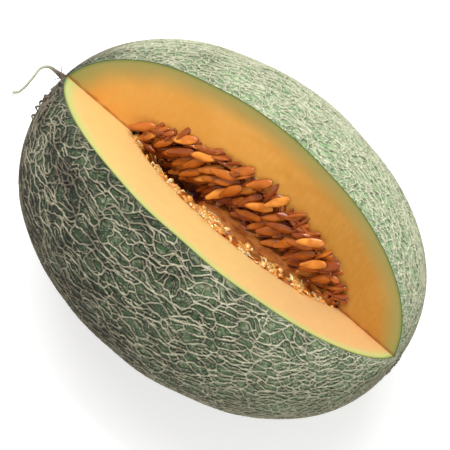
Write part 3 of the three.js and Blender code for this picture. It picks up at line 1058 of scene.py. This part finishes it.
def torn_fringe(look, pulp):
    """Wet shreds beside the front lip and dark strings along the back lip, as one mesh."""
    rng = np.random.default_rng(look.draw)
    surface = surface_of(pulp)
    front = lip_line(form.front_angle, form.front_normal, 0.03, 0.97)
    back = lip_line(form.back_angle, form.back_normal, 0.02, 0.98)
    groups = (
        (front, look.shreds, (0, look.width), look.shred_radius, (0.34, 0.78)),
        (front, look.fibres, (-0.8 * MM, look.width), look.shred_radius * 0.6, (0.9, 1.0)),
        (back, look.strings, (-3.5 * MM, 1.5 * MM), look.string_radius, (0.0, 0.35)),
    )
    parts, tones = [], []
    for line, count, reach, radius, span in groups:
        some, paleness = lip_shreds(look, surface, rng, line, count, reach, radius, span)
        parts += some
        tones += paleness
    points, faces = gather(parts)
    points = points + 0.3 * MM * ripple_vector(points, 2.6 * MM, 91)
    made = make_object("torn_fringe", points, faces, [fringe_material(look)])
    add_values(made, "shred_tone", np.concatenate(tones))
    return made


def dry_stem(look):
    """The stalk, from dark corky seat to frayed tip, and dry curls on the rind beside it."""
    low, high = (np.array(corner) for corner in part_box("stem"))
    route = np.array([[14.9, 19.5, 3.8], [10.9, 19.2, 5.8], [7.4, 18.5, 7.8], [5.3, 15.6, 9.7],
                      [5.3, 12.3, 9.1], [4.8, 7.9, 6.2], [3.2, 3.3, 2.7], [1.0, 0.7, 0.8]])
    count, sides = 90, 18
    path = smooth_path(route * MM + low, count)
    reach = np.linspace(0, 1, count)
    path = path + 0.35 * MM * ripple_vector(path, 7 * MM, 101) * reach[:, None]
    radii = np.interp(reach, [0, 0.06, 0.16, 0.3, 0.6, 0.85, 0.95, 1],
                      [1.6, 1.15, 0.82, 0.62, 0.5, 0.5, 0.8, 0.35]) * MM
    points, faces = tube(path, radii, sides, 0.85)
    ring = np.concatenate([[0], np.repeat(np.arange(count), sides), [count - 1]])
    corners = np.linspace(0, 2 * math.pi, sides, endpoint=False)
    turn = np.concatenate([[0], np.tile(corners, count), [0]])
    ribs = 0.16 * np.cos(turn * 5 + reach[ring] * 4) * radii[ring]
    points = points + unit(points - path[ring]) * ribs[:, None]
    parts, reaches = [(points, faces)], [reach[ring]]
    rng = np.random.default_rng(look.draw)
    for number in range(look.fibres):
        at_tip = number % 3 == 0
        base = path[-8] if at_tip else path[3]
        spread = rng.normal(size=3)
        spread[2] = abs(spread[2]) * 0.5
        length = rng.uniform(2.0, 4.5) * MM * (0.55 if at_tip else 1)
        ahead = path[-1] - path[-8] if at_tip else path[12] - path[3]
        way = unit(unit(ahead) * 0.9 + spread * 0.5)
        curl = unit(rng.normal(size=3)) * length * 0.35
        line = [base + way * length * t + curl * t * t for t in np.linspace(0, 1, 7)]
        some, some_faces = tube(np.array(line), np.linspace(0.3, 0.1, 7) * MM, 6)
        parts.append((some, some_faces))
        reaches.append(np.full(len(some), 1.0 if at_tip else 0.12))
    for number in range(look.curls):
        theta = rng.uniform(0.07, 0.26) + np.linspace(0, rng.uniform(0.02, 0.06), 9)
        turn = form.front_angle - rng.uniform(0.15, 1.3)
        bend = rng.choice([-1, 1]) * rng.uniform(0.1, 0.3)
        bend = bend * np.sin(np.linspace(0, rng.uniform(1.5, 4), 9))
        ways = form.direction(theta, turn + bend)
        lift = rng.uniform(0.8, 2.2) * np.sin(np.linspace(0.15, 3.0, 9)) * MM
        line = form.place_at(ways, form.skin_distance(ways) + lift)
        radii = np.interp(np.linspace(0, 1, 20), [0, 0.4, 1], [0.35, 0.55, 0.2]) * MM
        some, some_faces = tube(smooth_path(line, 20), radii, 8)
        parts.append((some, some_faces))
        reaches.append(np.full(len(some), 0.15))
    points, faces = gather(parts)
    made = make_object("dry_stem", points, faces, [stem_material(look)])
    add_values(made, "stem_reach", np.concatenate(reaches))
    return made


# ---- Settings ----


def whole(name, description, default, **limits):
    """A setting for a whole number."""
    return IntProperty(name=name, description=description, default=default, **limits)


def number(name, description, default, **kind):
    """A setting for any number."""
    return FloatProperty(name=name, description=description, default=default, **kind)


def length(name, description, millimetres, **limits):
    """A setting for a length, with its default in millimetres."""
    return number(name, description, millimetres * MM, unit="LENGTH", **limits)


def tint(name, description, red, green, blue):
    """A colour setting, with its default as 0 to 255 screen values."""
    return FloatVectorProperty(name=name, description=description, subtype="COLOR", size=3, min=0,
                               max=1, default=colour_of(red, green, blue))


class MelonBodyLook(bpy.types.PropertyGroup):
    """Sizes and colours of the rind and the flesh."""

    rows: whole("Rows", "Mesh rows from end to end", 420, min=60)
    columns: whole("Columns", "Mesh columns around the rind", 600, min=60)
    net_spacing: number("Net spacing", "Distance between the net's large cells, in millimetres",
                        3.6, min=2)
    net_stretch: number("Net stretch",
                        "How much longer the cells are along the melon than around it", 2.5, min=1)
    ridge_width: number("Ridge half width", "Half the width of a large ridge, in millimetres", 0.47,
                        min=0.1)
    ridge_height: number("Ridge height", "How far the ridges stand up, in millimetres", 0.8, min=0)
    skin_dark: tint("Dark skin", "Skin in the net's cells, at its darkest", 18, 27, 18)
    skin_bright: tint("Bright skin", "Skin in the net's cells, at its greenest", 42, 76, 38)
    # Partly real and partly painted light on the side the key light falls on.
    skin_pale: tint("Pale skin", "Skin on the pale side", 134, 162, 118)
    net_dark: tint("Dark net", "Cork ridges at their darkest", 108, 100, 84)
    net_light: tint("Light net", "Cork ridges at their lightest", 196, 190, 162)
    # Partly real and partly painted light on the side the key light falls on.
    net_pale: tint("Pale net", "Cork ridges on the pale side", 206, 208, 178)
    # Real dark specks, and painted shade at the foot and on the flanks of the ridges.
    specks_and_painted_shade: tint("Net shadow", "Dark specks and the foot of the ridges", 22, 28, 20)
    # Brown skin and brown cork: real near the stem, painted shade under the melon.
    skin_brown: tint("Brown skin", "Skin near the stem and under the melon", 36, 34, 26)
    cork_brown: tint("Brown cork", "Cork near the stem and under the melon", 92, 81, 67)
    # The back cut's colours are painted as shaded, deeper orange, and the front cut's as lit, paler
    # and yellower; both cuts are the same flesh.
    flesh_deep: tint("Deep flesh", "Flesh of the back cut, at its deepest", 184, 130, 46)
    flesh_orange: tint("Orange flesh", "Flesh of the back cut, at its brightest", 216, 156, 68)
    flesh_pale: tint("Pale flesh", "Flesh of the front cut", 219, 184, 118)
    flesh_peach: tint("Peach flesh", "Flesh of the front cut towards the far end", 216, 172, 114)
    flesh_light: tint("Flesh fibres", "Fine fibres in the flesh", 244, 204, 130)
    flesh_olive: tint("Olive flesh", "Flesh near the rind on the back cut", 154, 148, 86)
    flesh_lime: tint("Lime flesh", "Flesh near the rind on the front cut", 184, 196, 124)
    flesh_green: tint("Green flesh", "The last of the flesh under the skin", 112, 136, 64)
    flesh_stain: tint("Stained flesh", "Flesh along the seeds on the back cut", 150, 72, 22)
    flesh_wet: tint("Wet flesh", "Flesh along the cavity", 200, 116, 38)


class PulpLook(bpy.types.PropertyGroup):
    """Sizes and colours of the seed pulp."""

    grain: length("Grain", "Size of the pulp's mesh cells", 0.8, min=0.3 * MM)
    roughness: length("Roughness", "How far the strings and lumps stand up", 1.3, min=0)
    pulp_orange: tint("Orange pulp", "Pulp where it is clean", 184, 94, 26)
    pulp_brown: tint("Brown pulp", "Pulp where it is thick", 112, 46, 14)
    pulp_light: tint("Light pulp", "Lumps that catch the light", 226, 150, 70)
    # Painted shade down in the hollow.
    pulp_shade: tint("Dark pulp", "Pulp down in the hollow", 92, 30, 12)
    film_brown: tint("Brown film", "The wet skin over the hollow, at its darkest", 136, 72, 30)
    film_tan: tint("Tan film", "The wet skin over the hollow, as most is", 176, 108, 50)
    # Partly a milky membrane and partly a painted highlight.
    film_pale: tint("Pale film", "The wet skin where it is milky", 226, 178, 136)


class SeedLook(bpy.types.PropertyGroup):
    """Number and colours of the seeds."""

    draw: whole("Draw", "Starts the random places of the loose seeds", 3)
    loose: whole("Loose seeds", "Number of seeds heaped between the others", 300, min=1)
    band: length("Band", "How far in from the back lip the heap reaches", 15.5)
    depth: length("Depth", "How high over the pulp the loose seeds may lie", 1.6, min=0)
    seed_brown: tint("Brown seed", "Seed coats at their darkest", 138, 62, 16)
    seed_amber: tint("Amber seed", "Seed coats as most are", 188, 104, 28)
    seed_light: tint("Light seed", "Seed coats at their lightest", 228, 152, 60)
    seed_rim: tint("Seed rim", "The thin rim of a seed", 120, 46, 12)


class FringeLook(bpy.types.PropertyGroup):
    """Sizes and colours of the torn fringe."""

    draw: whole("Draw", "Starts the random places of the shreds", 8)
    shreds: whole("Shreds", "Number of shreds", 330, min=10)
    fibres: whole("Fibres", "Number of thin pale fibres", 70, min=1)
    strings: whole("Strings", "Number of dark strings", 520, min=10)
    width: length("Width", "Widest reach of the fringe from the lip", 11)
    shred_length: length("Shred length", "Longest shred", 7.5)
    shred_radius: length("Shred radius", "Radius of an average shred", 0.95)
    string_radius: length("String radius", "Radius of an average dark string", 0.45)
    fringe_orange: tint("Orange shreds", "Shreds at their deepest", 224, 146, 64)
    fringe_pale: tint("Pale shreds", "Shreds at their palest", 250, 220, 162)
    fringe_dark: tint("Dark strings", "Strings among the seeds", 110, 44, 14)


class StemLook(bpy.types.PropertyGroup):
    """Numbers of fibres and curls, and the colours of the stem."""

    draw: whole("Draw", "Starts the random fibres", 12)
    fibres: whole("Fibres", "Number of loose fibres", 15, min=0)
    curls: whole("Curls", "Number of dry curls on the rind beside the stem", 16, min=0)
    stem_dark: tint("Dark stem", "Cork at the seat", 92, 76, 66)
    stem_grey: tint("Grey stem", "The stalk at its greyest", 166, 168, 146)
    stem_green: tint("Green stem", "The stalk at its greenest", 186, 200, 168)
    net_pale: tint("Frayed stem", "The frayed tip", 198, 193, 167)


class MelonStageLook(bpy.types.PropertyGroup):
    """Camera and lights."""

    azimuth: number("Azimuth", "Turn of the camera around the melon", math.radians(38.84),
                    subtype="ANGLE")
    elevation: number("Elevation", "Rise of the camera over the table", math.radians(76.43),
                      subtype="ANGLE")
    distance: number("Distance", "From the camera to the melon's middle", 0.84, unit="LENGTH")
    lens: number("Lens", "Focal length on a 36 mm sensor", 155.6, unit="CAMERA")
    aim_right: length("Aim right", "The aim's offset to the right", 1.6)
    aim_up: length("Aim up", "The aim's offset up", 1.26)
    key_power: number("Key power", "Power of the large soft light", 13.0, unit="POWER")
    fill_power: number("Fill power", "Power of the light from the near side", 1.8, unit="POWER")
    spark_power: number("Spark power", "Power of the small light that wets the seeds", 3.0,
                        unit="POWER")
    world_strength: number("World strength", "Light from all around", 0.6)


# ---- Operators ----


def settle(made, slot, *nodes):
    """Fixes a piece to the melon and hides the solids it stands for. The slot it is given is not
    used.
    """
    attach(made, "root")
    if nodes:
        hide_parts(*nodes)


class MELON_OT_body(bpy.types.Operator):
    """Builds the rind, the flesh and the cavity's wall."""

    bl_idname = "melon.body"
    bl_label = "Rind and flesh"

    def execute(self, context):
        settle(melon_body(context.scene.melon_body), "rind_and_flesh", "fruit")
        return {"FINISHED"}


class MELON_OT_pulp(bpy.types.Operator):
    """Builds the stringy seed pulp."""

    bl_idname = "melon.pulp"
    bl_label = "Seed pulp"

    def execute(self, context):
        settle(seed_pulp(context.scene.melon_pulp), "pulp", "pulp")
        return {"FINISHED"}


class MELON_OT_seeds(bpy.types.Operator):
    """Builds the seeds and the loose ones heaped between them."""

    bl_idname = "melon.seeds"
    bl_label = "Seeds"

    def execute(self, context):
        look = context.scene.melon_seeds
        for seed, name in melon_seeds(look):
            settle(seed, "seed", name)
        settle(loose_seeds(look, bpy.data.objects["seed_pulp"]), "seed")
        return {"FINISHED"}


class MELON_OT_fringe(bpy.types.Operator):
    """Builds the torn fringe along the front lip and the dark strings along the back one."""

    bl_idname = "melon.fringe"
    bl_label = "Torn fringe"

    def execute(self, context):
        settle(torn_fringe(context.scene.melon_fringe, bpy.data.objects["seed_pulp"]), "pulp")
        return {"FINISHED"}


class MELON_OT_stem(bpy.types.Operator):
    """Builds the dry stem and the curls beside it."""

    bl_idname = "melon.stem"
    bl_label = "Stem"

    def execute(self, context):
        settle(dry_stem(context.scene.melon_stem), "stem", "stem")
        return {"FINISHED"}


class MELON_OT_stage(bpy.types.Operator):
    """Sets up the floor, the lights and the camera."""

    bl_idname = "melon.stage"
    bl_label = "Stage"

    def execute(self, context):
        look = context.scene.melon_stage
        scene = context.scene
        corners = [(-4, -4, 0), (4, -4, 0), (4, 4, 0), (-4, 4, 0)]
        floor = make_object("floor", corners, [[0, 1, 2, 3]], [floor_material()])

        world = bpy.data.worlds.new("soft_room")
        world.use_nodes = True
        background = world.node_tree.nodes["Background"]
        background.inputs["Color"].default_value = (1.0, 0.985, 0.955, 1)
        background.inputs["Strength"].default_value = look.world_strength
        scene.world = world

        aim = Vector(form.centre)
        self.lamp(scene, "key", aim, (-0.29, 0.45, 1.14), 0.8, look.key_power)
        self.lamp(scene, "fill", aim, (0.75, -0.55, 0.5), 0.9, look.fill_power)
        self.lamp(scene, "spark", aim, (-0.1, 0.25, 1.0), 0.09, look.spark_power)

        a, e = look.azimuth, look.elevation
        right = Vector((math.cos(a), math.sin(a), 0))
        back = Vector((math.sin(a) * math.cos(e), -math.cos(a) * math.cos(e), math.sin(e)))
        up = back.cross(right)
        aim = aim + right * look.aim_right + up * look.aim_up
        lens = bpy.data.cameras.new("camera")
        lens.lens = look.lens
        lens.sensor_width = 36
        lens.clip_start = 0.01
        lens.clip_end = 50
        camera = bpy.data.objects.new("camera", lens)
        turn = Matrix((right, up, back)).transposed().to_4x4()
        camera.matrix_world = Matrix.Translation(aim + back * look.distance) @ turn
        scene.collection.objects.link(camera)
        scene.camera = camera
        scene.view_settings.view_transform = "Standard"
        return {"FINISHED"}

    def lamp(self, scene, name, aim, place, size, power):
        """Adds a square soft light that faces the melon."""
        light = bpy.data.lights.new(name, "AREA")
        light.size = size
        light.energy = power
        made = bpy.data.objects.new(name, light)
        made.location = place
        made.rotation_euler = (aim - Vector(place)).to_track_quat("-Z", "Y").to_euler()
        scene.collection.objects.link(made)


class MELON_PT_panel(bpy.types.Panel):
    """Lists the melon's pieces."""

    bl_label = "Netted Melon"
    bl_space_type = "VIEW_3D"
    bl_region_type = "UI"
    bl_category = "Melon"

    def draw(self, context):
        for operator in OPERATORS:
            self.layout.operator(operator.bl_idname)


LOOKS = {
    "melon_body": MelonBodyLook,
    "melon_pulp": PulpLook,
    "melon_seeds": SeedLook,
    "melon_fringe": FringeLook,
    "melon_stem": StemLook,
    "melon_stage": MelonStageLook,
}
OPERATORS = (MELON_OT_body, MELON_OT_pulp, MELON_OT_seeds, MELON_OT_fringe,
             MELON_OT_stem, MELON_OT_stage)


def register():
    for made in (*LOOKS.values(), *OPERATORS, MELON_PT_panel):
        bpy.utils.register_class(made)
    for name, look in LOOKS.items():
        setattr(bpy.types.Scene, name, PointerProperty(type=look))


def unregister():
    for name in LOOKS:
        delattr(bpy.types.Scene, name)
    for made in reversed((*LOOKS.values(), *OPERATORS, MELON_PT_panel)):
        bpy.utils.unregister_class(made)


def main():
    register()
    for piece in ("body", "pulp", "seeds", "fringe", "stem", "stage"):
        getattr(bpy.ops.melon, piece)()


if __name__ == "__main__":
    main()
